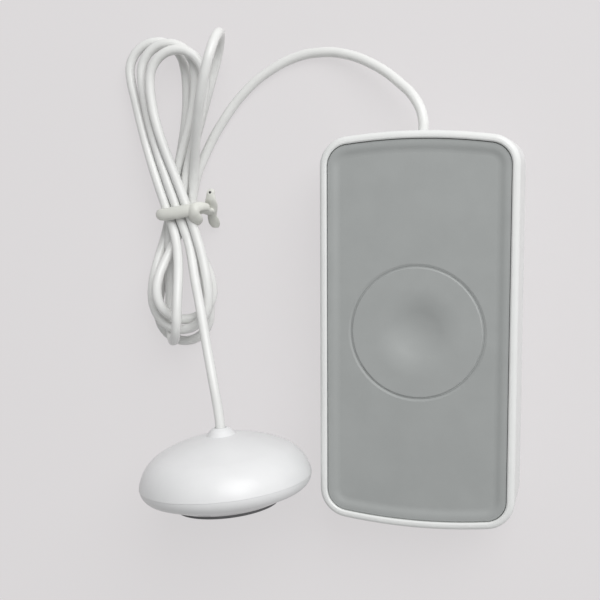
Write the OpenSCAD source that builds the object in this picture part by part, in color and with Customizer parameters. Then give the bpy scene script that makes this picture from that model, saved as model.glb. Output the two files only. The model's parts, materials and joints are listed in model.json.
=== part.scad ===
// Water leak sensor: a flat unit with a large press button, and a round probe on a bundled cable.
// Millimetres. The origin is the centre of the unit's back face, which lies on the surface; +Z is up.
// The unit's front panel looks up, its cable leaves the +Y edge, and the probe lies at its -X side.

/* [Unit] */
// Width of the unit
body_w = 60; // [58:1:66]
// Height of the unit along its centre line
body_h = 121; // [119:1:130]
// Depth of the unit from its back face to its front edge
body_d = 24; // [23:0.5:28]
// Radius of the bowed top and bottom edges
end_r = 167.2; // [150:0.1:220]
// Radius of the unit's corners
corner_r = 9; // [9:0.5:12]
// Wall thickness of the white frame
wall = 2.3; // [2:0.1:2.5]

/* [Button] */
// Diameter of the press button
button_d = 40; // [36:1:41]
// Width of the groove round the button
button_gap = 0.35; // [0.3:0.05:0.6]
// How far the button goes in
button_travel = 0.8; // [0.4:0.1:1]
// Radius of the dimple in the button
dimple_r = 14; // [12:0.5:15]
// Depth of the dimple in the button
dimple = 2; // [1:0.1:2.2]

/* [Probe] */
// Diameter of the probe
probe_d = 55.6; // [52:0.1:60]
// Height of the probe's dome over the middle of its shoulder
probe_dome = 16.6; // [15:0.1:18]
// Radius of the probe's rounded shoulder
probe_rim_r = 13; // [12:0.1:14]
// Diameter of the dark foot
foot_d = 33; // [30:1:36]
// Height of the dark foot
foot_h = 1.2; // [0.8:0.1:3]
// Free space between the unit and the probe
probe_gap = 2.1; // [1.5:0.1:6]

/* [Cable] */
// Diameter of the cable
cable_d = 3.2; // [2.8:0.1:3.3]
// Height of the cable's way out of the unit
cable_z = 13; // [12:0.5:14]

/* [Hidden] */
$fn = 96;

// How far a cut reaches past the solid that it cuts, and how far joined solids reach into each other
cut = 1;
// Play round a screw's shank or head
screw_clear = 0.1;
// Play of a press fit
press_gap = 0.02;

// Outline of the unit
end_y = body_h / 2 - end_r;
corner_x = body_w / 2 - corner_r;
side_half = end_y + sqrt(pow(end_r - corner_r, 2) - pow(corner_x, 2));
fan_reach = 1.1;
fan_x = fan_reach * corner_x;
fan_y = end_y + fan_reach * (side_half - end_y);

// Levels of the housing
cover_t = 2.2;
seal_t = 0.6;
lip_t = 1.2;
lip_h = 1.6;
fit_gap = 0.3;
seat_gap = 0.05;
back_round = 1;
edge_in = 2;
edge_band = back_round + edge_in;
gasket_out = 0.3;
gasket_in = 0.2;
frame_round = 1.4;
frame_inner_round = 0.6;
panel_t = 2.1;
panel_sink = 1.3;
rim_sink = 0.7;
panel_top = body_d - panel_sink;
panel_bottom = panel_top - panel_t;
panel_rim = body_d - rim_sink;
ledge_w = 2;
ledge_t = 1.6;

// Border of the panel: a raised rim, then a soft slope down to the field
panel_play = 0.15;
panel_out = wall + panel_play;
rim_w = 1;
slope_w = 3;
slope_r = (pow(slope_w / 2, 2) + pow((panel_rim - panel_top) / 2, 2)) / (panel_rim - panel_top);
field_in = panel_out + rim_w + slope_w;
field_lap = 0.5;
edge_round = 0.3;
groove_w = 0.7;
groove_t = 0.25;
groove_round = 0.5;

// Case screws
case_boss_r = 2.9;
case_boss_x = body_w / 2 - wall - fit_gap - case_boss_r;
case_boss_in = 4;
case_boss_up = 2;
case_boss_under = 0.4;
case_boss_y = side_half - case_boss_in;
case_boss_z = cover_t + case_boss_up;
case_boss_top = panel_bottom - case_boss_under;
case_screw_r = 1.3;
case_head_r = 2.4;
case_head_h = 1;
case_head_z = 0.2;
case_screw_len = 9;
case_screw_spare = 0.5;
driver_l = 2.8;
driver_w = 0.6;
driver_t = 0.5;

// Button and switch
button_r = button_d / 2;
flange_w = 1.4;
flange_r = button_r + flange_w;
flange_t = 1.2;
flange_top = panel_bottom - fit_gap;
flange_bottom = flange_top - flange_t;
dimple_arc = (pow(dimple_r / 2, 2) + pow(dimple / 2, 2)) / dimple;
button_wall = 2.5;
button_t = 1;
hollow_r = button_r - button_wall;
hollow_top = panel_top - dimple - button_t;
boss_r = 3;
boss_lap = 0.4;
switch_w = 6.2;
plunger_r = 1.75;
plunger_gap = 0.3;

// Main board
board_t = 1.6;
board_z = 9;
board_top = board_z + board_t;
board_w = 40;
board_off_high = 14.5;
board_off_low = 34.5;
board_high = body_h / 2 - board_off_high;
board_low = board_off_low - body_h / 2;
board_screw_x = 17;
board_screw_in = 3.2;
board_screw_low = board_low + board_screw_in;
board_screw_high = board_high - board_screw_in;
board_post_r = 2.6;
board_screw_r = 1;
board_head_r = 2;
board_head_h = 1.4;
screw_tip_up = 1;
board_screw_tip = cover_t + screw_tip_up;
switch_h = 3.8;
switch_spare = 0.4;
plunger_sink = 1.5;
plunger_l = 3.1;
switch_top = board_top + switch_h;
plunger_low = switch_top - plunger_sink;
plunger_top = plunger_low + plunger_l;
switch_floor = plunger_low - button_travel - switch_spare;

// Radio and control chip on the board
radio_x = -18;
radio_off = 30;
radio_at = [radio_x, board_high - radio_off];
radio_size = [14, 20, 0.8];
radio_top = board_top + radio_size[2];
can_inset = 1;
can_size = [12, 12, 2];
antenna_at = [radio_at[0] + can_inset, radio_at[1] + can_size[1] + 2 * can_inset];
antenna_line = 0.8;
antenna_t = 0.1;
antenna_pitch = 2.6;
antenna_reach = 5;
antenna_bars = 5;
chip_x = 6;
chip_off = 32;
chip_at = [chip_x, board_high - chip_off];
chip_size = [8, 8, 1.1];

// Cable entry and clamp
cable_r = cable_d / 2;
grommet_r = 2.9;
grommet_flange_r = 4;
grommet_flange_t = 0.8;
grommet_proud = 0.2;
exit_y = body_h / 2 + grommet_proud;
sheath_off = 4;
clamp_off = 5.5;
sheath_end = board_high + sheath_off;
clamp_y = board_high + clamp_off;
clamp_len = 4;
clamp_w = 17;
clamp_post_x = 6;
clamp_post_r = 2.2;
clamp_drop = 0.8;
clamp_rise = 3;
clamp_seat = cable_z - clamp_drop;
clamp_top = cable_z + clamp_rise;
clamp_tip_up = 3;
clamp_screw_tip = cover_t + clamp_tip_up;
saddle_w = 5;
wire_r = 0.5;
wire_x = 0.7;
header_size = [8, 6, 5];
plug_size = [6.8, 3, 3.8];

// Battery: one cell of the half AA size, across the unit near its lower edge
battery_r = 7.25;
battery_l = 25;
nub_r = 2.2;
nub_l = 1;
holder_wall = 1.2;
holder_floor = 1.2;
holder_h = 9;
holder_off = 3;
holder_half = battery_r + fit_gap + holder_wall;
cell_y = -(body_h / 2 - wall - fit_gap - lip_t - holder_off - holder_half);
contact_t = 0.4;
spring_room = 2.65;
cell_room = battery_l + spring_room + 2 * contact_t + seat_gap;
room_high = cell_room / 2;
room_low = -cell_room / 2;
battery_z = cover_t + holder_floor + battery_r + seat_gap;
battery_wire_x = 8;
contact_w = 12;
contact_h = 12;
spring_r = 3;
spring_wire = 0.6;
spring_turns = 2.5;
spring_steps = 36;

// Probe: its axis lies level, and it lies on its edge
probe_r = probe_d / 2;
probe_wall = 2;
probe_edge = 2.2;
rim_at = probe_r - probe_rim_r;
edge_r = rim_at + sqrt(pow(probe_rim_r, 2) - pow(probe_edge, 2));
probe_turn = 5.5;
probe_y = -50.4;
probe_at = [-(body_w / 2 + probe_gap + probe_r), probe_y, edge_r];
dome_over = probe_dome - probe_rim_r;
dome_drop = (rim_at * rim_at - dome_over * dome_over) / (2 * dome_over);
dome_r = probe_dome + dome_drop;
neck_r = 2.5;
neck_h = 2.1;
neck_top = probe_dome + neck_h;
neck_bevel = [0.9, 0.7];
neck_foot_r = 5;
neck_foot_sink = 0.6;
bush_r = 2;
bush_in = 1;
bush_low = probe_dome - probe_wall - bush_in;
base_t = 2;
base_low = -4.9;
base_round = 4.5;
base_in = 0.3;
base_slope = 22;
base_normal = [sin(base_slope), -cos(base_slope)];
base_cavity_r = 16;
base_foot_w = 0.9;
base_foot_r = foot_d / 2 + base_foot_w;
base_r = probe_r - base_in;
base_centre = [base_r - base_round, probe_edge];
foot_low = base_low - foot_h;
foot_round = 0.4;
probe_screw_in = 7.5;
probe_screw_at = probe_r - probe_screw_in;
probe_boss_r = 2.6;
probe_boss_sink = 0.7;
probe_boss_top = sqrt(pow(dome_r, 2) - pow(probe_screw_at + probe_boss_r, 2)) - dome_drop - probe_boss_sink;
probe_seat_t = 2.2;
probe_seat = probe_edge - probe_seat_t;
probe_screw_r = 1;
probe_screw_len = 6;
probe_head_h = 0.8;
electrode_r = 1.8;
electrode_at = 10;
electrode_out = 0.6;
probe_board_r = 15;
probe_board_z = 1;
probe_board_t = 1.6;
probe_sheath_z = 9;
seal_w = 1.4;
probe_seal_h = 1;
seal_r = rim_at + sqrt(pow(probe_rim_r - probe_wall, 2) - pow(probe_edge + probe_seal_h, 2)) - seat_gap;

// Cable route outside the unit; the lists hold hand-chosen places for the sizes above
tube_sides = 8;
hank_sides = 6;
// The bundle's strands are drawn a little slimmer than the cable, so that they stay apart
hank_share = 0.92;
hank_d = hank_share * cable_d;
rings_between = 2;
upright = 0.95;
lead_route = [[-2, 69.4, 12.2], [-8.3, 76, 9.2], [-17, 82, 6], [-27, 86, 3.5], [-35, 87, 2.1],
    [-43, 86, 1.7], [-53, 81.6, 1.7], [-61, 75.5, 1.7], [-69.3, 65.5, 1.7], [-74.9, 56, 1.9]];
lead_from = [0, 60.7, 13];
lead_to = [-79.5, 43, 2.6];
tail_route = [[-75.3, 14.5, 13.6], [-71.4, 3.6, 18.2], [-67.7, -7.1, 22.8], [-64.4, -17.7, 26.2]];
tail_from = [-79.9, 29, 9.9];
tail_to = [-61.69, -31.79, 27.58];

// Bundle of the cable, for a cable of the size that the lobes were set out with
lobe_cable = 3.2;
lobe_scale = cable_d / lobe_cable;
waist_off = 52.4;
waist_y = 36;
waist = [-(body_w / 2 + waist_off), waist_y];
slot_pitch = 3.7;
row_shift = [-2.2, -0.3, 0];
row_z = [2.6, 6.15, 9.9];
row_slant = [0.2, 0.1, -0.36];
tie_half = 3;
hank_end = 7;
// A lobe: side of the waist, length, bend radius, lean, roll, height,
// place in the tie where it leaves, place where it comes back, turn
lobes = [
    [-1, 44.6, 9.6, -3.2, 0, 1.7, [0, 1], [0, 0], -1],
    [1, 59.5, 10, 16.5, 76, 13.5, [0, 0], [1, 1], -1],
    [-1, 36, 9.6, 4.3, -36.3, 9.7, [1, 1], [1, 0], -1],
    [1, 52.8, 9.6, 0.8, 0, 10.2, [1, 0], [2, 1], 1],
    [-1, 39.3, 10.8, 1.4, 7.9, 11.2, [2, 1], [0, -1], -1],
    [1, 57.7, 9.6, -11.6, -6, 2.7, [0, -1], [2, -1], 1],
    [-1, 42.9, 9.6, -2, 60, 12.8, [2, -1], [1, -1], -1],
    [1, 55.6, 9.6, -5.2, 0, 6.4, [1, -1], [2, 0], 1]
];
lobe_arc_rings = 9;
lobe_run_rings = 5;
gap_steps = 3;
same_stretch = 5 * cable_d;

// Twist tie round the waist of the bundle
tie_t = 0.8;
tie_w = 4;
tie_left = 8.6;
tie_right = 6.7;
tie_low = 0.9;
tie_high = 11.6;
tie_round = 2.5;
tie_knot_r = 1.5;
tie_knot_l = 3.5;
tie_tab_w = 3;
tie_tab_round = 1.4;
tie_tab_z = 7.2;
tie_tab_up = 7.9;
tie_tab_down = 5.5;
tie_stub_h = 1.4;
tie_stub_r = 1.3;
tie_wire_r = 0.4;
tie_wire_out = 0.1;

// Colours
white = [0.93, 0.93, 0.92];
grey = [0.6, 0.62, 0.62];
dark = [0.16, 0.16, 0.17];
rubber = [0.75, 0.76, 0.76];
steel = [0.75, 0.75, 0.74];
green = [0.1, 0.32, 0.2];

// Piece to build, or all

// Outline and edge of the unit

// Field of the bowed end between the lines from the end's centre through the corners' centres
module end_fan() {
    polygon([[-corner_x, side_half], [corner_x, side_half], [fan_x, fan_y], [-fan_x, fan_y]]);
}

// Field of one corner, beyond the line
module corner_fan() {
    polygon([[corner_x, side_half], [body_w, side_half], [body_w, fan_y], [fan_x, fan_y]]);
}

// Flat shape of the unit, drawn in by a distance
module outline(inset) {
    square([body_w - 2 * inset, 2 * side_half], center = true);
    for (end = [0, 1]) mirror([0, end]) {
        intersection() {
            translate([0, end_y]) circle(end_r - inset);
            end_fan();
        }
        for (side = [0, 1]) mirror([side, 0]) intersection() {
            translate([corner_x, side_half]) circle(corner_r - inset);
            corner_fan();
        }
    }
}

// Carries a section once round the outline: its x is the distance outwards, its y the height
module round_the_edge() {
    for (side = [0, 1]) mirror([side, 0, 0]) translate([body_w / 2, side_half, 0])
        rotate([90, 0, 0]) linear_extrude(2 * side_half) children();
    for (end = [0, 1]) mirror([0, end, 0]) {
        intersection() {
            translate([0, end_y, 0]) rotate_extrude(angle = 180) translate([end_r, 0]) children();
            linear_extrude(2 * body_d) end_fan();
        }
        for (side = [0, 1]) mirror([side, 0, 0]) intersection() {
            translate([corner_x, side_half, 0])
                rotate_extrude(angle = 90) translate([corner_r, 0]) children();
            linear_extrude(2 * body_d) corner_fan();
        }
    }
}

// Section from one distance outwards to another, between two heights
module strip(x0, x1, z0, z1) {
    translate([x0, z0]) square([x1 - x0, z1 - z0]);
}

module at_corners(x, y) {
    for (i = [-1, 1], j = [-1, 1]) translate([i * x, j * y, 0]) children();
}

module at_board_screws() {
    for (i = [-1, 1], y = [board_screw_low, board_screw_high])
        translate([i * board_screw_x, y, 0]) children();
}

// Cylinder along Y from one place to another
module rod_y(x, z, y0, y1, r) {
    translate([x, y1, z]) rotate([90, 0, 0]) cylinder(h = y1 - y0, r = r);
}

module at_clamp_posts() {
    for (i = [-1, 1]) translate([i * clamp_post_x, clamp_y, 0]) children();
}

// Rounded rectangle between two corners
module soft_square(x0, x1, y0, y1, r) {
    strip(x0 + r, x1 - r, y0, y1);
    strip(x0, x1, y0 + r, y1 - r);
    for (x = [x0 + r, x1 - r], y = [y0 + r, y1 - r]) translate([x, y]) circle(r);
}

// Housing

module rear_cover() {
    color(white) difference() {
        union() {
            linear_extrude(cover_t) outline(edge_band - cut);
            round_the_edge() {
                union() {
                    strip(-edge_band, 0, back_round, cover_t);
                    strip(-edge_band, -back_round, 0, cover_t);
                    translate([-back_round, back_round]) circle(back_round);
                }
            }
            round_the_edge() strip(-wall - fit_gap - lip_t, -wall - fit_gap, cover_t - cut, cover_t + lip_h);
            at_corners(case_boss_x, case_boss_y) cylinder(h = case_boss_z, r = case_boss_r);
            at_board_screws() cylinder(h = board_z, r = board_post_r);
            at_clamp_posts() cylinder(h = clamp_seat, r = clamp_post_r);
            translate([-saddle_w / 2, clamp_y - clamp_len / 2, cut])
                cube([saddle_w, clamp_len, cable_z - cable_r - seat_gap - cut]);
        }
        at_corners(case_boss_x, case_boss_y) translate([0, 0, -cut]) {
            cylinder(h = case_boss_z + 2 * cut, r = case_screw_r + seat_gap);
            cylinder(h = case_head_z + case_head_h + cut, r = case_head_r + screw_clear);
        }
        at_board_screws() translate([0, 0, cover_t]) cylinder(h = board_z, r = board_screw_r + seat_gap);
        at_clamp_posts() translate([0, 0, cover_t]) cylinder(h = cable_z, r = board_screw_r + seat_gap);
    }
}

// Ring of the outline between two distances inwards
module ring_wall(outer, inner, z0, z1) {
    translate([0, 0, z0]) linear_extrude(z1 - z0) difference() {
        outline(outer);
        outline(inner);
    }
}

module frame_lip() {
    polygon([[0, body_d - frame_round], [-frame_round, body_d], [frame_inner_round - wall, body_d],
        [-wall, body_d - frame_inner_round], [-wall, body_d - frame_round]]);
    intersection() {
        translate([-frame_round, body_d - frame_round]) circle(frame_round);
        strip(-wall, 0, body_d - frame_round, body_d);
    }
    translate([frame_inner_round - wall, body_d - frame_inner_round]) circle(frame_inner_round);
}

module front_frame() {
    color(white) difference() {
        union() {
            ring_wall(0, wall, cover_t + seal_t, body_d - frame_round);
            ring_wall(wall / 2, wall + ledge_w, panel_bottom - ledge_t, panel_bottom);
            round_the_edge() frame_lip();
            at_corners(case_boss_x, case_boss_y) translate([0, 0, case_boss_z])
                cylinder(h = case_boss_top - case_boss_z, r = case_boss_r);
        }
        rod_y(0, cable_z, body_h / 2 - 2 * wall, body_h / 2 + cut, grommet_r);
        at_corners(case_boss_x, case_boss_y)
            cylinder(h = case_head_z + case_head_h + case_screw_len + case_screw_spare,
                r = case_screw_r + seat_gap);
    }
}

module housing_gasket() {
    color(rubber) ring_wall(gasket_out, wall - gasket_in, cover_t, cover_t + seal_t);
}

module case_screws() {
    color(steel) at_corners(case_boss_x, case_boss_y) {
        difference() {
            translate([0, 0, case_head_z]) cylinder(h = case_head_h, r = case_head_r);
            for (a = [0, 90]) rotate(a) translate([-driver_l / 2, -driver_w / 2, 0])
                cube([driver_l, driver_w, case_head_z + driver_t]);
        }
        translate([0, 0, case_head_z + case_head_h]) cylinder(h = case_screw_len, r = case_screw_r);
    }
}

// Front panel and button

module panel_border() {
    strip(-panel_out - rim_w, -panel_out - edge_round, panel_bottom, panel_rim);
    strip(-panel_out - rim_w, -panel_out, panel_bottom, panel_rim - edge_round);
    translate([-panel_out - edge_round, panel_rim - edge_round]) circle(edge_round);
    intersection() {
        strip(-panel_out - rim_w - slope_w / 2, -panel_out - rim_w, panel_bottom, panel_rim);
        translate([-panel_out - rim_w, panel_rim - slope_r]) circle(slope_r);
    }
    difference() {
        strip(-field_in, -panel_out - rim_w - slope_w / 2, panel_bottom, panel_rim);
        translate([-field_in, panel_top + slope_r]) circle(slope_r);
    }
    strip(-field_in - field_lap, -field_in, panel_bottom, panel_top);
}

module front_panel() {
    color(grey) difference() {
        union() {
            round_the_edge() panel_border();
            translate([0, 0, panel_bottom]) linear_extrude(panel_top - panel_bottom)
                outline(field_in + field_lap / 2);
        }
        translate([0, 0, panel_bottom - cut]) cylinder(h = body_d, r = button_r + button_gap);
        translate([0, 0, panel_top - groove_t])
            cylinder(h = groove_t, r1 = button_r + button_gap, r2 = button_r + button_gap + groove_w);
    }
}

// Half section of the button: flange, skirt, and a top that falls softly into the dimple
module button_section() {
    strip(0, flange_r, flange_bottom, flange_top);
    strip(dimple_r, button_r, flange_bottom, panel_top - groove_round);
    difference() {
        strip(0, dimple_r / 2, flange_bottom, panel_top);
        translate([0, panel_top - dimple + dimple_arc]) circle(dimple_arc);
    }
    intersection() {
        strip(dimple_r / 2, dimple_r, flange_bottom, panel_top);
        translate([dimple_r, panel_top - dimple_arc]) circle(dimple_arc);
    }
    strip(dimple_r, button_r - groove_round, flange_bottom, panel_top);
    intersection() {
        translate([button_r - groove_round, panel_top - groove_round]) circle(groove_round);
        strip(0, button_r, flange_bottom, panel_top);
    }
}

module push_button() {
    color(grey) {
        difference() {
            rotate_extrude() button_section();
            translate([0, 0, flange_bottom - cut])
                cylinder(h = hollow_top - flange_bottom + cut, r = hollow_r);
        }
        translate([0, 0, plunger_top]) cylinder(h = hollow_top - plunger_top + boss_lap, r = boss_r);
    }
}

module switch_plunger() {
    color(dark) translate([0, 0, plunger_low]) cylinder(h = plunger_top - plunger_low, r = plunger_r);
}

module tact_switch() {
    color(steel) difference() {
        translate([-switch_w / 2, -switch_w / 2, board_top])
            cube([switch_w, switch_w, switch_top - board_top]);
        translate([0, 0, switch_floor]) cylinder(h = switch_top, r = plunger_r + plunger_gap);
    }
}

// Main board

module main_board() {
    color(green) difference() {
        translate([-board_w / 2, board_low, board_z]) cube([board_w, board_high - board_low, board_t]);
        at_board_screws() translate([0, 0, board_z - cut])
            cylinder(h = board_t + 2 * cut, r = board_screw_r + 2 * screw_clear);
    }
}

module board_screws() {
    color(steel) at_board_screws() {
        translate([0, 0, board_top]) cylinder(h = board_head_h, r = board_head_r);
        translate([0, 0, board_screw_tip]) cylinder(h = board_top - board_screw_tip, r = board_screw_r);
    }
}

module radio_module() {
    color(green) translate([radio_at[0], radio_at[1], board_top]) cube(radio_size);
}

module radio_can() {
    color(steel) translate([radio_at[0] + can_inset, radio_at[1] + can_inset, radio_top]) cube(can_size);
}

module antenna_trace() {
    color(steel) translate([antenna_at[0], antenna_at[1], radio_top]) {
        for (i = [0:antenna_bars - 1]) translate([i * antenna_pitch, 0, 0])
            cube([antenna_line, antenna_reach, antenna_t]);
        for (i = [0:antenna_bars - 2])
            translate([i * antenna_pitch, (i % 2) * (antenna_reach - antenna_line), 0])
                cube([antenna_pitch + antenna_line, antenna_line, antenna_t]);
    }
}

module control_chip() {
    color(dark) translate([chip_at[0], chip_at[1], board_top]) cube(chip_size);
}

// Cable entry

module cable_header() {
    color(white) translate([-header_size[0] / 2, board_high - plug_size[1] - header_size[1], board_top])
        cube(header_size);
}

module cable_plug() {
    color(white) translate([-plug_size[0] / 2, board_high - plug_size[1], board_top + seat_gap])
        cube(plug_size);
}

module cable_wires() {
    color(dark) for (i = [-1, 1]) rod_y(i * wire_x, cable_z, board_high, sheath_end, wire_r);
}

module cable_sheath() {
    color(white) rod_y(0, cable_z, sheath_end, exit_y, cable_r);
}

module cable_grommet() {
    inner_face = body_h / 2 - wall;
    color(rubber) difference() {
        union() {
            rod_y(0, cable_z, inner_face - grommet_flange_t, exit_y, grommet_r - press_gap);
            rod_y(0, cable_z, inner_face - grommet_flange_t, inner_face - seat_gap, grommet_flange_r);
        }
        rod_y(0, cable_z, inner_face - 2 * wall, exit_y + cut, cable_r + press_gap);
    }
}

module cable_clamp() {
    color(white) difference() {
        translate([-clamp_w / 2, clamp_y - clamp_len / 2, clamp_seat])
            cube([clamp_w, clamp_len, clamp_top - clamp_seat]);
        rod_y(0, cable_z, clamp_y - clamp_len, clamp_y + clamp_len, cable_r + seat_gap);
        translate([-cable_r - seat_gap, clamp_y - clamp_len, clamp_seat - cut])
            cube([cable_d + 2 * seat_gap, 2 * clamp_len, cable_z - clamp_seat + cut]);
        at_clamp_posts() cylinder(h = body_d, r = board_screw_r + screw_clear);
    }
}

module clamp_screws() {
    color(steel) at_clamp_posts() {
        translate([0, 0, clamp_top]) cylinder(h = board_head_h, r = board_head_r);
        translate([0, 0, clamp_screw_tip]) cylinder(h = clamp_top - clamp_screw_tip, r = board_screw_r);
    }
}

// Battery

// The cell lies along Y here, and is then turned across the unit
module at_cell() {
    translate([0, cell_y, 0]) rotate(90) children();
}

module battery_holder() {
    color(dark) at_cell() difference() {
        translate([-holder_half, room_low - holder_wall, cover_t])
            cube([2 * holder_half, cell_room + 2 * holder_wall, holder_h]);
        rod_y(0, battery_z, room_low, room_high, battery_r + seat_gap);
        translate([-battery_r - seat_gap, room_low, battery_z])
            cube([2 * (battery_r + seat_gap), cell_room, battery_r]);
        for (y = [room_low, room_high - contact_t])
            translate([-holder_half + holder_wall, y, cover_t + holder_floor])
                cube([2 * (holder_half - holder_wall), contact_t, holder_h]);
    }
}

module battery_cell() {
    color(grey) at_cell() translate([0, room_high - contact_t - seat_gap - battery_l, battery_z])
        rotate([-90, 0, 0]) {
            cylinder(h = battery_l - nub_l, r = battery_r);
            cylinder(h = battery_l, r = nub_r);
        }
}

function spring_point(i) = let (a = 360 * spring_turns * i / spring_steps)
    [spring_r * cos(a), spring_r * sin(a),
        spring_wire / 2 + seat_gap + (spring_room - spring_wire - 2 * seat_gap) * i / spring_steps];

module battery_spring() {
    color(steel) at_cell() translate([0, room_low + contact_t, battery_z]) rotate([-90, 0, 0])
        tube([for (i = [0:spring_steps]) spring_point(i)], spring_wire / 2, hank_sides);
}

// Leads from the holder to the edge of the board
module battery_wires() {
    color(dark) for (i = [-1, 1])
        rod_y(i * battery_wire_x, board_z + board_t / 2, cell_y + holder_half, board_low, wire_r);
}

module contact_plate(y) {
    at_cell() translate([-contact_w / 2, y, cover_t + holder_floor + seat_gap])
        cube([contact_w, contact_t, contact_h]);
}

module contact_positive() {
    color(steel) contact_plate(room_high - contact_t);
}

module contact_negative() {
    color(steel) contact_plate(room_low);
}

// Probe, drawn standing on its foot and then laid down on its rim

module on_probe() {
    translate(probe_at) rotate([0, 0, probe_turn]) rotate([-90, 0, 0]) children();
}

// Half section of the dome, drawn in by a wall, down to a level
module dome_section(inset, low) {
    intersection() {
        union() {
            intersection() {
                translate([0, -dome_drop]) circle(dome_r - inset);
                polygon([[0, 0], [rim_at, 0], [2 * rim_at, dome_drop], [0, dome_drop]]);
            }
            intersection() {
                translate([rim_at, 0]) circle(probe_rim_r - inset);
                polygon([[rim_at, 0], [probe_d, 0], [probe_d, dome_drop], [2 * rim_at, dome_drop]]);
            }
        }
        strip(0, probe_d, low, probe_d);
    }
}

// Half section of the neck: a short cone with a bevelled top
module neck_section() {
    polygon([[0, probe_dome - probe_wall], [neck_foot_r, probe_dome - neck_foot_sink],
        [neck_r + neck_bevel[0], neck_top - neck_bevel[1]], [neck_r, neck_top], [0, neck_top]]);
}

module at_probe_screws() {
    for (a = [30, 150, 270]) rotate(a) translate([probe_screw_at, 0, 0]) children();
}

module at_electrodes() {
    for (a = [90, 210, 330]) rotate(a) translate([electrode_at, 0, 0]) children();
}

// Half section of the base: a soft edge, then a slope down to the foot
module base_section() {
    polygon([[0, base_low], [base_foot_r, base_low], base_centre + base_round * base_normal,
        base_centre, [0, probe_edge]]);
    intersection() {
        translate(base_centre) circle(base_round);
        strip(0, probe_d, base_low, probe_edge);
    }
}

module probe_shell() {
    color(white) on_probe() difference() {
        union() {
            rotate_extrude() difference() {
                union() {
                    dome_section(0, probe_edge);
                    neck_section();
                }
                dome_section(probe_wall, 0);
                strip(0, bush_r, 0, neck_top + cut);
            }
            at_probe_screws() translate([0, 0, probe_edge])
                cylinder(h = probe_boss_top - probe_edge, r = probe_boss_r);
        }
        at_probe_screws() translate([0, 0, probe_edge - cut])
            cylinder(h = probe_screw_len - probe_seat_t + 2 * cut, r = probe_screw_r + seat_gap);
    }
}

module probe_base() {
    color(white) on_probe() difference() {
        rotate_extrude() difference() {
            base_section();
            strip(0, base_cavity_r, base_low + base_t, probe_edge + cut);
        }
        at_probe_screws() translate([0, 0, base_low - cut]) {
            cylinder(h = probe_edge - base_low + 2 * cut, r = probe_screw_r + screw_clear);
            cylinder(h = probe_seat - base_low + cut, r = board_head_r + screw_clear);
        }
        at_electrodes() translate([0, 0, base_low - cut])
            cylinder(h = base_t + 2 * cut, r = electrode_r + seat_gap);
    }
}

module probe_seal() {
    color(rubber) on_probe() rotate_extrude()
        strip(seal_r - seal_w, seal_r, probe_edge, probe_edge + probe_seal_h);
}

module probe_foot() {
    color(dark) on_probe() difference() {
        rotate_extrude() {
            strip(0, foot_d / 2, foot_low + foot_round, base_low);
            strip(0, foot_d / 2 - foot_round, foot_low, base_low);
            intersection() {
                translate([foot_d / 2 - foot_round, foot_low + foot_round]) circle(foot_round);
                strip(0, foot_d, foot_low, base_low);
            }
        }
        at_electrodes() translate([0, 0, foot_low - cut])
            cylinder(h = foot_h + 2 * cut, r = electrode_r + seat_gap);
    }
}

module probe_electrodes() {
    color(steel) on_probe() at_electrodes() translate([0, 0, foot_low - electrode_out])
        cylinder(h = probe_board_z - foot_low + electrode_out, r = electrode_r);
}

module probe_board() {
    color(green) on_probe() translate([0, 0, probe_board_z]) cylinder(h = probe_board_t, r = probe_board_r);
}

module probe_screws() {
    color(steel) on_probe() at_probe_screws() translate([0, 0, probe_seat]) {
        translate([0, 0, -probe_head_h]) cylinder(h = probe_head_h, r = board_head_r);
        cylinder(h = probe_screw_len, r = probe_screw_r);
    }
}

module probe_bush() {
    color(rubber) on_probe() difference() {
        translate([0, 0, bush_low]) cylinder(h = neck_top - bush_low, r = bush_r - press_gap);
        translate([0, 0, bush_low - cut]) cylinder(h = neck_top, r = cable_r + press_gap);
    }
}

module probe_sheath() {
    color(white) on_probe() translate([0, 0, probe_sheath_z])
        cylinder(h = neck_top - probe_sheath_z, r = cable_r);
}

module probe_wires() {
    color(dark) on_probe() for (i = [-1, 1]) translate([i * wire_x, 0, probe_board_z + probe_board_t])
        cylinder(h = probe_sheath_z - probe_board_z - probe_board_t, r = wire_r);
}

// Cable

function unit(v) = v / norm(v);
function direction(p, i) = unit(p[min(i + 1, len(p) - 1)] - p[max(i - 1, 0)]);

// Corners of one ring of a tube
function ring(p, i, r, n) = let (
    along = direction(p, i),
    side = unit(cross(along, abs(along[2]) > upright ? [1, 0, 0] : [0, 0, 1])),
    over = cross(side, along)
) [for (k = [0:n - 1]) p[i] + r * (cos(360 * k / n) * side + sin(360 * k / n) * over)];

// Closed round tube along a list of points
module tube(p, r, n) {
    rings = len(p);
    corners = [for (i = [0:rings - 1]) each ring(p, i, r, n)];
    last = (rings - 1) * n;
    skin = [for (i = [0:rings - 2], k = [0:n - 1]) let (
        a = i * n + k, b = i * n + (k + 1) % n, c = a + n, d = b + n
    ) each [[a, c, b], [b, c, d]]];
    start_cap = [for (k = [1:n - 2]) [0, k, k + 1]];
    end_cap = [for (k = [1:n - 2]) [last, last + k + 1, last + k]];
    polyhedron(points = corners, faces = concat(skin, start_cap, end_cap));
}

// Smooth curve through a list of points, with steps between each two
function smooth_part(a, b, c, d, t) = (2 * b + (c - a) * t + (2 * a - 5 * b + 4 * c - d) * t * t
    + (3 * b - a - 3 * c + d) * t * t * t) / 2;
function smooth(p, steps) = concat([for (i = [0:len(p) - 2], s = [0:steps - 1]) smooth_part(
    i > 0 ? p[i - 1] : 2 * p[0] - p[1], p[i], p[i + 1],
    i < len(p) - 2 ? p[i + 2] : 2 * p[i + 1] - p[i], s / steps)], [p[len(p) - 1]]);

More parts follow.
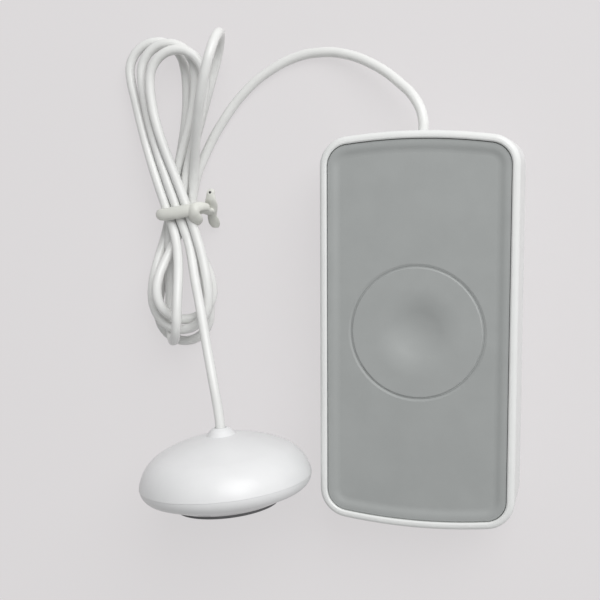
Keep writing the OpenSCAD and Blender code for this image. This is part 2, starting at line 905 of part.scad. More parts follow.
// Route moved so that its ends follow the pieces that it joins
function fitted(route, from, to, a, b) = let (n = len(route) + 1)
    [for (i = [0:len(route) - 1]) route[i] + (a - from) * (1 - (i + 1) / n) + (b - to) * (i + 1) / n];

// Place of a strand in the tie, some way along the cable from the waist
function slot(place, y) = let (row = place[0])
    [row_shift[row] + place[1] * slot_pitch + row_slant[row] * y, y, row_z[row]];
function placed(p) = [waist[0], waist[1], 0] + lobe_scale * p;

function eased(p, q, tp, tq, t) = (2 * t * t * t - 3 * t * t + 1) * p + (t * t * t - 2 * t * t + t) * tp
    + (3 * t * t - 2 * t * t * t) * q + (t * t * t - t * t) * tq;

// Points of one lobe: a run out of the tie, a half turn, and a run back into the tie
function lobe_points(l, finer) = let (
    side = l[0], lean = l[3], roll = l[4], r = l[2],
    axis = [sin(lean), side * cos(lean), 0],
    across = [cos(lean), -side * sin(lean), 0],
    start = (across * cos(roll) + [0, 0, sin(roll)]) * l[8] * side,
    centre = [0, 0, l[5]] + axis * (l[1] - r),
    first = centre + r * start, last = centre - r * start,
    leave = slot(l[6], side * tie_half), enter = slot(l[7], side * tie_half),
    leave_dir = slot(l[6], side * (tie_half + 1)) - leave,
    enter_dir = enter - slot(l[7], side * (tie_half + 1)),
    out = norm(first - leave), back = norm(last - enter),
    runs = lobe_run_rings * finer, turns = lobe_arc_rings * finer
) concat(
    [for (i = [0:runs - 1]) eased(leave, first, leave_dir * out, axis * out, i / runs)],
    [for (i = [0:turns - 1]) centre + r * (cos(180 * i / turns) * start + sin(180 * i / turns) * axis)],
    [for (i = [0:runs]) eased(last, enter, -axis * back, enter_dir * back, i / runs)]
);

hank_start = placed(slot(lobes[0][6], hank_end));
hank_stop = placed(slot(lobes[len(lobes) - 1][7], -hank_end));
hank_start_dir = unit(slot(lobes[0][6], 1) - slot(lobes[0][6], 0));
hank_stop_dir = unit(slot(lobes[len(lobes) - 1][7], -1) - slot(lobes[len(lobes) - 1][7], 0));
function hank_points(finer) = concat([hank_start],
    [for (l = lobes, p = lobe_points(l, finer)) placed(p)], [hank_stop]);

exit_at = [0, exit_y, cable_z];
exit_dir = [0, 1, 0];
probe_axis = [-sin(probe_turn), cos(probe_turn), 0];
neck_at = probe_at + probe_axis * neck_top;
lead_points = concat([exit_at], smooth(concat([exit_at + exit_dir * cable_d],
    fitted(lead_route, lead_from, lead_to, exit_at, hank_start),
    [hank_start + hank_start_dir * cable_d]), rings_between), [hank_start]);
tail_points = concat([hank_stop], smooth(concat([hank_stop + hank_stop_dir * cable_d],
    fitted(tail_route, tail_from, tail_to, hank_stop, neck_at),
    [neck_at + probe_axis * cable_d]), rings_between), [neck_at]);

// Length along a list of points
function run_length(p) = [for (i = [1:len(p) - 1]) norm(p[i] - p[i - 1])] * [for (i = [1:len(p) - 1]) 1];

// Least free space between stretches of the bundle that aren't neighbours along the cable
function least_gap(p, apart) = min([for (i = [0:len(p) - 1 - apart], j = [i + apart:len(p) - 1])
    norm(p[i] - p[j])]) - hank_d;

module cable_lead() {
    color(white) tube(lead_points, cable_r, tube_sides);
}

module cable_hank() {
    fine = hank_points(gap_steps);
    step = run_length(fine) / (len(fine) - 1);
    echo(least_gap = least_gap(fine, ceil(same_stretch / step)));
    echo(cable_length = run_length(lead_points) + run_length(fine) + run_length(tail_points));
    color(white) tube(hank_points(1), hank_d / 2, hank_sides);
}

module cable_tail() {
    color(white) tube(tail_points, cable_r, tube_sides);
}

// Twist tie, set out about the waist

module at_waist() {
    translate([waist[0], waist[1], 0]) scale(lobe_scale) children();
}

module at_tab_top() {
    translate([tie_right + tie_t + tie_knot_l, tie_tab_up - tie_tab_w / 2, tie_tab_z]) children();
}

module cable_tie() {
    color(white) at_waist() difference() {
        union() {
            translate([0, tie_w / 2, 0]) rotate([90, 0, 0]) linear_extrude(tie_w) difference() {
                soft_square(-tie_left - tie_t, tie_right + tie_t, tie_low - tie_t, tie_high + tie_t,
                    tie_round + tie_t);
                soft_square(-tie_left, tie_right, tie_low, tie_high, tie_round);
            }
            translate([tie_right + tie_t / 2, 0, tie_tab_z]) rotate([0, 90, 0])
                cylinder(h = tie_knot_l + tie_t / 2, r = tie_knot_r);
            translate([tie_right + tie_t + tie_knot_l, 0, tie_tab_z - tie_t / 2]) linear_extrude(tie_t)
                soft_square(-tie_tab_w / 2, tie_tab_w / 2, -tie_tab_down, tie_tab_up, tie_tab_round);
            at_tab_top() cylinder(h = tie_stub_h, r = tie_stub_r);
        }
        at_tab_top() cylinder(h = tie_stub_h + cut, r = tie_wire_r + press_gap);
    }
}

module tie_wire() {
    color(dark) at_waist() at_tab_top() cylinder(h = tie_stub_h + tie_wire_out, r = tie_wire_r);
}

rear_cover();
front_frame();
housing_gasket();
case_screws();
front_panel();
push_button();
switch_plunger();
tact_switch();
main_board();
board_screws();
radio_module();
radio_can();
antenna_trace();
control_chip();
cable_header();
cable_plug();
cable_wires();
cable_sheath();
cable_grommet();
cable_clamp();
clamp_screws();
battery_holder();
battery_cell();
battery_spring();
battery_wires();
contact_positive();
contact_negative();
probe_shell();
probe_base();
probe_seal();
probe_foot();
probe_electrodes();
probe_board();
probe_screws();
probe_bush();
probe_sheath();
probe_wires();
cable_lead();
cable_hank();
cable_tail();
cable_tie();
tie_wire();
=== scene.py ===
"""Looks of the water leak sensor: cable, twist tie and button seal, materials, floor, light and camera."""
import json
import math
import bmesh
import bpy
from mathutils import Matrix, Vector


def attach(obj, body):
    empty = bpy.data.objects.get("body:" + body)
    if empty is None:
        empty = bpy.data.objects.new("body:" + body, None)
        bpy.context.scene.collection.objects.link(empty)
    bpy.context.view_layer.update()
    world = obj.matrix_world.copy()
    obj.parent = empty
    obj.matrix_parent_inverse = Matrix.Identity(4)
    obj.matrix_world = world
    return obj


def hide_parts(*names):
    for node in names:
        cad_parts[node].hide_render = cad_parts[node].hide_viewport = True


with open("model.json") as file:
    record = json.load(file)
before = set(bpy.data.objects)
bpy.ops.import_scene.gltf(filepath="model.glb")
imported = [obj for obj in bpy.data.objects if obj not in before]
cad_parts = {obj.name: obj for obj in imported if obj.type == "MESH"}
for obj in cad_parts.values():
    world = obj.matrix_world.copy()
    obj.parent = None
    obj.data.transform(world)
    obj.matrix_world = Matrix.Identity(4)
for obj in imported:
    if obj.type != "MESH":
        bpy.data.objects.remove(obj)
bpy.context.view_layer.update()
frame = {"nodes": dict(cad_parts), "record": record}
MM = 0.001

# Camera, fitted to the unit's outline and the button's circle

PHOTO_LENS = 60
PHOTO_SENSOR = 36
CAMERA_AT = Vector((49.74, 43.86, 319.43)) * MM
CAMERA_RIGHT = Vector((0.96039, -0.0054, -0.27861))
CAMERA_UP = Vector((-0.026, 0.99371, -0.1089))


def make_camera():
    """Puts the camera where the photograph was taken from."""
    data = bpy.data.cameras.new("camera")
    data.lens = PHOTO_LENS
    data.sensor_width = PHOTO_SENSOR
    camera = bpy.data.objects.new("camera", data)
    bpy.context.collection.objects.link(camera)
    right = CAMERA_RIGHT.normalized()
    back = right.cross(CAMERA_UP).normalized()
    up = back.cross(right)
    turn = Matrix((right, up, back)).transposed()
    camera.matrix_world = Matrix.Translation(CAMERA_AT) @ turn.to_4x4()
    bpy.context.scene.camera = camera


# Cable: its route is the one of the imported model, in millimetres here

CABLE_D = 3.2
EXIT_AT = Vector((0, 60.7, 13))
EXIT_DIR = Vector((0, 1, 0))
LEAD_ROUTE = [(-2, 69.4, 12.2), (-8.3, 76, 9.2), (-17, 82, 6), (-27, 86, 3.5), (-35, 87, 2.1),
              (-43, 86, 1.7), (-53, 81.6, 1.7), (-61, 75.5, 1.7), (-69.3, 65.5, 1.7), (-74.9, 56, 1.9)]
TAIL_ROUTE = [(-75.3, 14.5, 13.6), (-71.4, 3.6, 18.2), (-67.7, -7.1, 22.8), (-64.4, -17.7, 26.2)]
PROBE_AT = Vector((-59.9, -50.4, 27.6125))
PROBE_TURN = math.radians(5.5)
NECK_TOP = 18.7

# Bundle: the cable passes the waist in rows of slots and turns back in lobes above and below it
WAIST = Vector((-82.4, 36, 0))
SLOT_PITCH = 3.7
ROW_SHIFT = [-2.2, -0.3, 0]
ROW_Z = [2.6, 6.15, 9.9]
ROW_SLANT = [0.2, 0.1, -0.36]
TIE_HALF = 3
BUNDLE_END = 7
ARC_STEPS = 9
RUN_STEPS = 5
CABLE_ROUND_STEPS = 6
CABLE_RUN_STEPS = 6
LEAVE_SLOT = 6
ENTER_SLOT = 7
# Each row: side of the waist, length, bend radius, lean, roll, height,
# slot where it leaves the tie, slot where it comes back, way that it turns
LOBES = [
    (-1, 44.6, 9.6, -3.2, 0, 1.7, (0, 1), (0, 0), -1),
    (1, 59.5, 10, 16.5, 76, 13.5, (0, 0), (1, 1), -1),
    (-1, 36, 9.6, 4.3, -36.3, 9.7, (1, 1), (1, 0), -1),
    (1, 52.8, 9.6, 0.8, 0, 10.2, (1, 0), (2, 1), 1),
    (-1, 39.3, 10.8, 1.4, 7.9, 11.2, (2, 1), (0, -1), -1),
    (1, 57.7, 9.6, -11.6, -6, 2.7, (0, -1), (2, -1), 1),
    (-1, 42.9, 9.6, -2, 60, 12.8, (2, -1), (1, -1), -1),
    (1, 55.6, 9.6, -5.2, 0, 6.4, (1, -1), (2, 0), 1),
]


def slot_point(place, y):
    """Point of a strand some way along the cable from the waist."""
    row, column = place
    return WAIST + Vector((ROW_SHIFT[row] + column * SLOT_PITCH + ROW_SLANT[row] * y, y, ROW_Z[row]))


def eased(start, end, start_pull, end_pull, t):
    """Point on a smooth run between two places with given pulls at its ends."""
    return ((2 * t**3 - 3 * t**2 + 1) * start + (t**3 - 2 * t**2 + t) * start_pull
            + (3 * t**2 - 2 * t**3) * end + (t**3 - t**2) * end_pull)


def lobe_points(lobe):
    """A run out of the tie, a half turn, and a run back into the tie."""
    side, length, radius, lean, roll, height, leave_slot, enter_slot, turn = lobe
    lean = math.radians(lean)
    roll = math.radians(roll)
    axis = Vector((math.sin(lean), side * math.cos(lean), 0))
    across = Vector((math.cos(lean), -side * math.sin(lean), 0))
    start = (across * math.cos(roll) + Vector((0, 0, math.sin(roll)))) * turn * side
    centre = WAIST + Vector((0, 0, height)) + axis * (length - radius)
    first = centre + radius * start
    last = centre - radius * start
    leave = slot_point(leave_slot, side * TIE_HALF)
    enter = slot_point(enter_slot, side * TIE_HALF)
    leave_pull = slot_point(leave_slot, side * (TIE_HALF + 1)) - leave
    enter_pull = enter - slot_point(enter_slot, side * (TIE_HALF + 1))
    out = (first - leave).length
    back = (last - enter).length
    points = []
    for i in range(RUN_STEPS):
        points.append(eased(leave, first, leave_pull * out, axis * out, i / RUN_STEPS))
    for i in range(ARC_STEPS):
        angle = math.pi * i / ARC_STEPS
        points.append(centre + radius * (math.cos(angle) * start + math.sin(angle) * axis))
    for i in range(RUN_STEPS + 1):
        points.append(eased(last, enter, -axis * back, enter_pull * back, i / RUN_STEPS))
    return points


def cable_points():
    """The whole cable from the unit's edge through the bundle to the probe's neck."""
    start_slot = LOBES[0][LEAVE_SLOT]
    stop_slot = LOBES[-1][ENTER_SLOT]
    bundle_start = slot_point(start_slot, BUNDLE_END)
    bundle_stop = slot_point(stop_slot, -BUNDLE_END)
    start_dir = (slot_point(start_slot, 1) - slot_point(start_slot, 0)).normalized()
    stop_dir = (slot_point(stop_slot, -1) - slot_point(stop_slot, 0)).normalized()
    probe_axis = Vector((-math.sin(PROBE_TURN), math.cos(PROBE_TURN), 0))
    neck_at = PROBE_AT + probe_axis * NECK_TOP
    points = [EXIT_AT, EXIT_AT + EXIT_DIR * CABLE_D]
    points += [Vector(p) for p in LEAD_ROUTE]
    points += [bundle_start + start_dir * CABLE_D, bundle_start]
    for lobe in LOBES:
        points += lobe_points(lobe)
    points += [bundle_stop, bundle_stop + stop_dir * CABLE_D]
    points += [Vector(p) for p in TAIL_ROUTE]
    points += [neck_at + probe_axis * CABLE_D, neck_at]
    return points


def make_cable(material):
    """One smooth round curve along the route."""
    data = bpy.data.curves.new("cable", "CURVE")
    data.dimensions = "3D"
    data.bevel_depth = CABLE_D / 2 * MM
    data.bevel_resolution = CABLE_ROUND_STEPS
    data.resolution_u = CABLE_RUN_STEPS
    data.use_fill_caps = True
    points = cable_points()
    spline = data.splines.new("BEZIER")
    spline.bezier_points.add(len(points) - 1)
    for knot, point in zip(spline.bezier_points, points):
        knot.co = point * MM
        knot.handle_left_type = "AUTO"
        knot.handle_right_type = "AUTO"
    data.materials.append(material)
    cable = bpy.data.objects.new("cable", data)
    bpy.context.collection.objects.link(cable)
    return cable


# Twist tie: a band round the waist, a second turn over its right side, a twist and two flat ends

TIE_STEPS = 12
TIE_RING = [(-7.3, 7.8), (-8.6, 3.6), (-6.4, 0.9), (2.4, 0.8), (4.8, 3.2), (6.6, 8.6),
            (5.2, 12.5), (-4.2, 12.5)]
BAND_HALF = 2.15
BAND_SIDE = 1.2
BAND_FRONT = 1.7
BAND_BACK = 0.42
BAND_CLIMB = 0.16
BAND_DIP = 0.25
DIP_HALF = 7
# Each row: centre from the waist, half width, half thickness and the way that the flat side looks
TIE_TURN = [
    ((10.4, 1.5, 8.8), 1.2, 1.0, (0.2, 0.4, 0.9)),
    ((8.9, 1.9, 11.0), 1.6, 1.2, (0.1, 0.3, 0.9)),
    ((7.4, 1.3, 13.0), 1.9, 1.3, (0, 0, 1)),
    ((7.0, -0.5, 13.0), 2.0, 1.3, (0, -0.2, 1)),
    ((7.2, -2.2, 11.4), 2.2, 1.2, (0.1, -0.5, 0.8)),
    ((6.5, -3.5, 9.2), 1.5, 1.0, (0.1, -0.8, 0.6)),
    ((6.1, -3.8, 7.4), 0.9, 0.8, (0.1, -0.9, 0.4)),
]
TIE_TWIST = [
    ((8.0, 1.2, 9.9), 1.9, 1.0, (0, 0.2, 1)),
    ((9.0, 0.6, 8.3), 2.0, 1.0, (-0.1, -0.2, 0.9)),
    ((9.7, -0.1, 6.6), 1.9, 0.8, (-0.1, -0.5, 0.85)),
    ((10.3, -0.4, 5.2), 1.6, 0.6, (-0.1, -0.5, 0.85)),
]
TIE_UPPER = [
    ((10.1, -1.0, 4.8), 1.7, 0.5, (-0.1, -0.5, 0.85)),
    ((10.5, 0.8, 5.9), 2.1, 0.55, (-0.1, -0.5, 0.85)),
    ((10.75, 2.5, 6.9), 2.4, 0.6, (-0.1, -0.5, 0.85)),
    ((10.95, 4.3, 7.8), 1.9, 0.7, (-0.1, -0.4, 0.9)),
    ((10.95, 6.2, 7.9), 1.4, 0.8, (0, 0, 1)),
]
TIE_LOWER = [
    ((10.4, 0.6, 5.7), 1.7, 0.5, (-0.1, -0.5, 0.85)),
    ((10.1, -1.0, 4.7), 1.75, 0.5, (-0.1, -0.5, 0.85)),
    ((10.2, -2.8, 3.6), 2.2, 0.5, (-0.1, -0.5, 0.85)),
    ((10.25, -4.2, 2.8), 2.1, 0.45, (-0.1, -0.5, 0.85)),
    ((10.3, -5.4, 2.1), 1.3, 0.4, (-0.1, -0.5, 0.85)),
]
TIE_STUB = [
    ((11.0, 6.3, 7.0), 1.35, 1.35, (0, 1, 0)),
    ((11.0, 6.35, 8.2), 1.3, 1.3, (0, 1, 0)),
    ((11.0, 6.4, 8.6), 1.05, 1.05, (0, 1, 0)),
]
TIE_VOXEL = 0.2
TIE_SIDES = 16
SOFTEN_SHARE = 0.5
SOFTEN_TIMES = 4


def smooth_points(points, steps, closed):
    """Points of a smooth curve through the given ones."""
    count = len(points)
    out = []
    for i in range(count if closed else count - 1):
        if closed:
            a, b, c, d = (points[(i + k) % count] for k in (-1, 0, 1, 2))
        else:
            a, b, c, d = (points[min(max(i + k, 0), count - 1)] for k in (-1, 0, 1, 2))
        for step in range(steps):
            t = step / steps
            out.append((2 * b + (c - a) * t + (2 * a - 5 * b + 4 * c - d) * t**2
                        + (3 * b - a - 3 * c + d) * t**3) / 2)
    if not closed:
        out.append(points[-1])
    return out


def add_tube(mesh, stations, closed):
    """Adds a tube of oval rings; a station is a centre, two half axes as vectors."""
    rings = []
    for centre, wide, thick in stations:
        ring = []
        for k in range(TIE_SIDES):
            angle = 2 * math.pi * k / TIE_SIDES
            ring.append(mesh.verts.new((centre + wide * math.cos(angle) + thick * math.sin(angle)) * MM))
        rings.append(ring)
    pairs = list(zip(rings, rings[1:]))
    if closed:
        pairs.append((rings[-1], rings[0]))
    for one, two in pairs:
        for k in range(TIE_SIDES):
            after = (k + 1) % TIE_SIDES
            mesh.faces.new((one[k], one[after], two[after], two[k]))
    if not closed:
        mesh.faces.new(list(reversed(rings[0])))
        mesh.faces.new(rings[-1])


def band_stations():
    """The band round the bundle; its front dips in the middle and climbs to the right."""
    flat = [Vector((x, 0, z)) for x, z in TIE_RING]
    line = smooth_points(flat, TIE_STEPS, True)
    low = min(p.z for p in line)
    high = max(p.z for p in line)
    middle = sum(line, Vector()) / len(line)
    stations = []
    for i, point in enumerate(line):
        along = (line[(i + 1) % len(line)] - line[i - 1]).normalized()
        outward = along.cross(Vector((0, 1, 0)))
        if outward.dot(point - middle) < 0:
            outward = -outward
        front = (point.z - low) / (high - low)
        thick = BAND_BACK + (BAND_FRONT - BAND_BACK) * front
        half = BAND_SIDE + (BAND_HALF - BAND_SIDE) * front**2
        lift = front * (BAND_CLIMB * point.x - BAND_DIP * max(0, 1 - (point.x / DIP_HALF)**2))
        stations.append((WAIST + point + Vector((0, lift, 0)), Vector((0, half, 0)), outward * thick))
    return stations


def strip_stations(rows):
    """A strip of the tie from its rows of centre, half width, half thickness and facing."""
    rows = [(Vector(centre), wide, thick, Vector(facing)) for centre, wide, thick, facing in rows]
    centres = smooth_points([row[0] for row in rows], TIE_STEPS, False)
    wides = smooth_points([row[1] for row in rows], TIE_STEPS, False)
    thicks = smooth_points([row[2] for row in rows], TIE_STEPS, False)
    facings = smooth_points([row[3] for row in rows], TIE_STEPS, False)
    stations = []
    for i, centre in enumerate(centres):
        along = (centres[min(i + 1, len(centres) - 1)] - centres[max(i - 1, 0)]).normalized()
        across = along.cross(facings[i]).normalized()
        facing = across.cross(along)
        stations.append((WAIST + centre, across * wides[i], facing * thicks[i]))
    return stations


def make_tie(material):
    """The twist tie, its strips grown together into one soft form."""
    mesh = bmesh.new()
    add_tube(mesh, band_stations(), True)
    for rows in (TIE_TURN, TIE_TWIST, TIE_UPPER, TIE_LOWER, TIE_STUB):
        add_tube(mesh, strip_stations(rows), False)
    bmesh.ops.recalc_face_normals(mesh, faces=mesh.faces)
    data = bpy.data.meshes.new("twist_tie")
    mesh.to_mesh(data)
    mesh.free()
    tie = bpy.data.objects.new("twist_tie", data)
    bpy.context.collection.objects.link(tie)
    grow = tie.modifiers.new("grow together", "REMESH")
    grow.mode = "VOXEL"
    grow.voxel_size = TIE_VOXEL * MM
    grow.use_smooth_shade = True
    soften = tie.modifiers.new("soften", "SMOOTH")
    soften.factor = SOFTEN_SHARE
    soften.iterations = SOFTEN_TIMES
    data.materials.append(material)
    return tie


# Seal in the groove round the button

SEAL_TOP = 22.38
SEAL_IN = 19.95
SEAL_OUT = 20.32
SEAL_T = 0.5
SEAL_STEPS = 192
SEAL_ROUND_STEPS = 6
SEAL_RISE = 0.5


def make_button_seal(material):
    """A thin soft ring with a rounded top that closes the groove round the button."""
    mesh = bmesh.new()
    middle = (SEAL_IN + SEAL_OUT) / 2
    half = (SEAL_OUT - SEAL_IN) / 2
    section = [(SEAL_IN, SEAL_TOP - SEAL_T)]
    for k in range(SEAL_ROUND_STEPS + 1):
        angle = math.pi * (1 - k / SEAL_ROUND_STEPS)
        drop = half * SEAL_RISE * (1 - math.sin(angle))
        section.append((middle + half * math.cos(angle), SEAL_TOP - drop))
    section.append((SEAL_OUT, SEAL_TOP - SEAL_T))
    rings = []
    for i in range(SEAL_STEPS):
        angle = 2 * math.pi * i / SEAL_STEPS
        rings.append([mesh.verts.new(Vector((r * math.cos(angle), r * math.sin(angle), z)) * MM)
                      for r, z in section])
    for i in range(SEAL_STEPS):
        one = rings[i]
        two = rings[(i + 1) % SEAL_STEPS]
        for k in range(len(section)):
            after = (k + 1) % len(section)
            mesh.faces.new((one[k], one[after], two[after], two[k]))
    bmesh.ops.recalc_face_normals(mesh, faces=mesh.faces)
    for face in mesh.faces:
        face.smooth = True
    data = bpy.data.meshes.new("button_seal")
    mesh.to_mesh(data)
    mesh.free()
    data.materials.append(material)
    seal = bpy.data.objects.new("button_seal", data)
    bpy.context.collection.objects.link(seal)
    return seal


# Materials; sizes and depths are in millimetres

NOISE_LOW = 0.3
NOISE_HIGH = 0.7
RAMP_LOW = 0.35
RAMP_HIGH = 0.65
CLOUD_SIZE = 9
CLOUD_DETAIL = 3
GLOSS_SIZE = 4
GLOSS_SPREAD = 0.04
FINE_DETAIL = 2
TRACK_SCALE = 160
TRACK_WAVER = 6
TRACK_DEPTH = 0.02
MASK_GLOSS_SIZE = 2
MASK_ROUGH_LOW = 0.3
MASK_ROUGH_HIGH = 0.45


def start_material(name):
    """A new node material with object coordinates."""
    material = bpy.data.materials.new(name)
    material.use_nodes = True
    nodes = material.node_tree.nodes
    links = material.node_tree.links
    coords = nodes.new("ShaderNodeTexCoord")
    return material, nodes, links, nodes["Principled BSDF"], coords.outputs["Object"]


def add_noise(nodes, links, place, size, detail, stretch=(1, 1, 1)):
    """Noise with features of about the given size in millimetres."""
    mapping = nodes.new("ShaderNodeMapping")
    mapping.inputs["Scale"].default_value = stretch
    links.new(place, mapping.inputs["Vector"])
    noise = nodes.new("ShaderNodeTexNoise")
    noise.inputs["Scale"].default_value = 1 / (size * MM)
    noise.inputs["Detail"].default_value = detail
    links.new(mapping.outputs["Vector"], noise.inputs["Vector"])
    return noise.outputs["Fac"]


def add_range(nodes, links, value, low, high):
    """Spreads a noise value over a range."""
    spread = nodes.new("ShaderNodeMapRange")
    spread.inputs["From Min"].default_value = NOISE_LOW
    spread.inputs["From Max"].default_value = NOISE_HIGH
    spread.inputs["To Min"].default_value = low
    spread.inputs["To Max"].default_value = high
    links.new(value, spread.inputs["Value"])
    return spread.outputs["Result"]


def add_colours(nodes, links, value, one, two):
    """Runs from one colour to another with a noise value."""
    ramp = nodes.new("ShaderNodeValToRGB")
    first, last = ramp.color_ramp.elements
    first.position = RAMP_LOW
    first.color = (*one, 1)
    last.position = RAMP_HIGH
    last.color = (*two, 1)
    links.new(value, ramp.inputs["Fac"])
    return ramp.outputs["Color"]


def add_bump(nodes, links, shader, value, depth):
    """Raises the surface with a noise value, by a depth in millimetres."""
    bump = nodes.new("ShaderNodeBump")
    bump.inputs["Strength"].default_value = 1
    bump.inputs["Distance"].default_value = depth * MM
    links.new(value, bump.inputs["Height"])
    links.new(bump.outputs["Normal"], shader.inputs["Normal"])


def moulded(name, colour, rough, grain, depth, mottle=0.03, metal=0.0, stretch=(1, 1, 1)):
    """A moulded or rolled surface: faint clouds of colour, uneven gloss and a fine grain."""
    material, nodes, links, shader, place = start_material(name)
    clouds = add_noise(nodes, links, place, CLOUD_SIZE, CLOUD_DETAIL)
    pale = tuple(min(1, c * (1 + mottle)) for c in colour)
    deep = tuple(c * (1 - mottle) for c in colour)
    links.new(add_colours(nodes, links, clouds, deep, pale), shader.inputs["Base Color"])
    gloss = add_noise(nodes, links, place, GLOSS_SIZE, FINE_DETAIL)
    uneven = add_range(nodes, links, gloss, rough - GLOSS_SPREAD, rough + GLOSS_SPREAD)
    links.new(uneven, shader.inputs["Roughness"])
    add_bump(nodes, links, shader, add_noise(nodes, links, place, grain, FINE_DETAIL, stretch), depth)
    shader.inputs["Metallic"].default_value = metal
    return material


def board(name, mask, trace):
    """Solder mask with paler tracks under it."""
    material, nodes, links, shader, place = start_material(name)
    wave = nodes.new("ShaderNodeTexWave")
    wave.wave_type = "BANDS"
    wave.inputs["Scale"].default_value = TRACK_SCALE
    wave.inputs["Distortion"].default_value = TRACK_WAVER
    links.new(place, wave.inputs["Vector"])
    links.new(add_colours(nodes, links, wave.outputs["Fac"], mask, trace), shader.inputs["Base Color"])
    gloss = add_noise(nodes, links, place, MASK_GLOSS_SIZE, FINE_DETAIL)
    uneven = add_range(nodes, links, gloss, MASK_ROUGH_LOW, MASK_ROUGH_HIGH)
    links.new(uneven, shader.inputs["Roughness"])
    add_bump(nodes, links, shader, wave.outputs["Fac"], TRACK_DEPTH)
    return material


# Each row: colour, roughness, size and depth of the grain, share of mottling, metal and the grain's stretch
MATERIALS = {
    "white_case": moulded("white_case", (0.80, 0.81, 0.80), 0.36, 0.35, 0.004, 0.012),
    "grey_panel": moulded("grey_panel", (0.365, 0.38, 0.375), 0.5, 0.3, 0.012, 0.02, 0.0, (1, 0.25, 1)),
    "grey_button": moulded("grey_button", (0.37, 0.385, 0.38), 0.5, 0.3, 0.012, 0.02, 0.0, (1, 0.25, 1)),
    "seal_rubber": moulded("seal_rubber", (0.62, 0.63, 0.63), 0.7, 0.4, 0.02),
    "steel": moulded("steel", (0.62, 0.62, 0.6), 0.32, 0.2, 0.006, 0.05, 1.0, (1, 6, 1)),
    "board_green": board("board_green", (0.02, 0.09, 0.045), (0.045, 0.2, 0.1)),
    "copper": moulded("copper", (0.7, 0.38, 0.2), 0.35, 0.2, 0.006, 0.08, 1.0),
    "black_plastic": moulded("black_plastic", (0.025, 0.025, 0.027), 0.5, 0.3, 0.015, 0.1),
    # foot_plastic: its dark grey is partly the foot's own plastic and partly painted shade from the ground
    # contact along the probe's bottom edge
    "foot_plastic": moulded("foot_plastic", (0.16, 0.16, 0.165), 0.6, 0.35, 0.02, 0.1),
    "white_fitting": moulded("white_fitting", (0.74, 0.74, 0.72), 0.5, 0.4, 0.01),
    "battery_wrap": moulded("battery_wrap", (0.2, 0.21, 0.22), 0.3, 1.5, 0.01, 0.06),
    "wire_insulation": moulded("wire_insulation", (0.06, 0.06, 0.06), 0.45, 0.4, 0.01, 0.08),
    "cable_white": moulded("cable_white", (0.80, 0.805, 0.79), 0.36, 0.8, 0.01, 0.02),
    "probe_white": moulded("probe_white", (0.80, 0.805, 0.81), 0.36, 2.5, 0.003, 0.012),
    "tie_plastic": moulded("tie_plastic", (0.70, 0.705, 0.66), 0.42, 0.7, 0.02, 0.04),
    "tie_steel": moulded("tie_steel", (0.12, 0.12, 0.12), 0.4, 0.2, 0.005, 0.1, 1.0),
}


def dress_nodes():
    """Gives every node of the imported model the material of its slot."""
    for row in frame["record"]["subparts"]:
        node = frame["nodes"][row["node"]]
        for place in node.material_slots:
            place.material = MATERIALS[row["material_slot"]]


# Floor and light

FLOOR_HALF = 3
FLOOR_PARTS = 8
FLOOR_COLOUR = (0.74, 0.72, 0.727)
FLOOR_GLOW = 0.8
WORLD_LEVEL = 0.38
KEY_LEVEL = 0.56
KEY_SIZE = 0.9
KEY_DISTANCE = 1.1
KEY_FROM = Vector((0.5, 0.66, 0.74)).normalized()
SCENE_MIDDLE = Vector((-40, 10, 10)) * MM


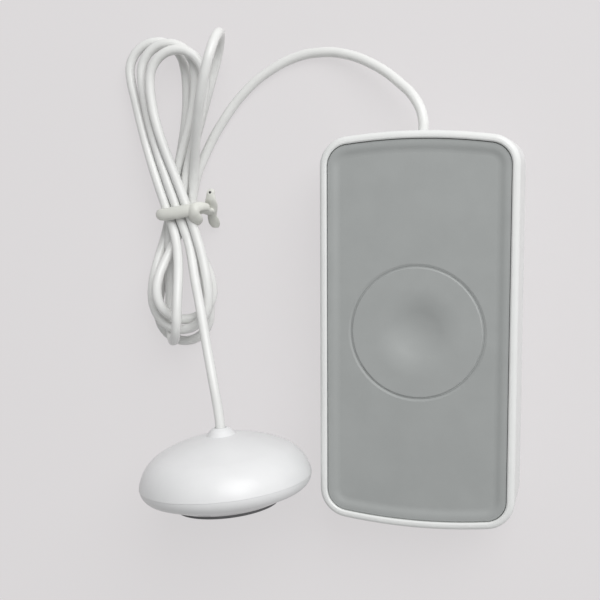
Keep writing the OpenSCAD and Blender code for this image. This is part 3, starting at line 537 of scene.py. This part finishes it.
def floor_paper():
    """Pale paper that shows the camera mostly its own colour, with faint shadows on it."""
    material = moulded("floor_paper", FLOOR_COLOUR, rough=0.9, grain=1.5, depth=0.01, mottle=0.004)
    nodes = material.node_tree.nodes
    links = material.node_tree.links
    glow = nodes.new("ShaderNodeEmission")
    glow.inputs["Color"].default_value = (*FLOOR_COLOUR, 1)
    path = nodes.new("ShaderNodeLightPath")
    seen = path.outputs["Is Camera Ray"]
    for ray in ("Is Glossy Ray", "Is Transmission Ray"):
        either = nodes.new("ShaderNodeMath")
        either.operation = "MAXIMUM"
        links.new(seen, either.inputs[0])
        links.new(path.outputs[ray], either.inputs[1])
        seen = either.outputs["Value"]
    share = nodes.new("ShaderNodeMath")
    share.operation = "MULTIPLY"
    share.inputs[1].default_value = FLOOR_GLOW
    links.new(seen, share.inputs[0])
    mix = nodes.new("ShaderNodeMixShader")
    links.new(share.outputs["Value"], mix.inputs["Fac"])
    links.new(nodes["Principled BSDF"].outputs["BSDF"], mix.inputs[1])
    links.new(glow.outputs["Emission"], mix.inputs[2])
    links.new(mix.outputs["Shader"], nodes["Material Output"].inputs["Surface"])
    return material


def make_floor():
    """A wide pale floor under the object."""
    mesh = bmesh.new()
    bmesh.ops.create_grid(mesh, x_segments=FLOOR_PARTS, y_segments=FLOOR_PARTS, size=FLOOR_HALF)
    data = bpy.data.meshes.new("floor")
    mesh.to_mesh(data)
    mesh.free()
    data.materials.append(floor_paper())
    floor = bpy.data.objects.new("floor", data)
    bpy.context.collection.objects.link(floor)


def make_light():
    """An even surround and one large soft lamp from the upper right."""
    world = bpy.data.worlds.new("surround")
    bpy.context.scene.world = world
    world.use_nodes = True
    ground = world.node_tree.nodes["Background"]
    ground.inputs["Color"].default_value = (1, 1, 1, 1)
    ground.inputs["Strength"].default_value = WORLD_LEVEL
    data = bpy.data.lights.new("key", "AREA")
    data.shape = "DISK"
    data.size = KEY_SIZE
    data.energy = KEY_LEVEL * (math.pi * KEY_DISTANCE)**2 / KEY_FROM.z
    lamp = bpy.data.objects.new("key", data)
    lamp.location = SCENE_MIDDLE + KEY_FROM * KEY_DISTANCE
    lamp.rotation_mode = "QUATERNION"
    lamp.rotation_quaternion = KEY_FROM.to_track_quat("Z", "Y")
    bpy.context.collection.objects.link(lamp)


# Putting it together

bpy.context.scene.view_settings.view_transform = "Standard"
make_camera()
make_floor()
make_light()
dress_nodes()

cable = make_cable(MATERIALS["cable_white"])
tie = make_tie(MATERIALS["tie_plastic"])
seal = make_button_seal(MATERIALS["grey_button"])

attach(cable, "housing")
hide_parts("cable_lead", "cable_hank", "cable_tail")
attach(tie, "housing")
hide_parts("cable_tie")
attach(seal, "button")
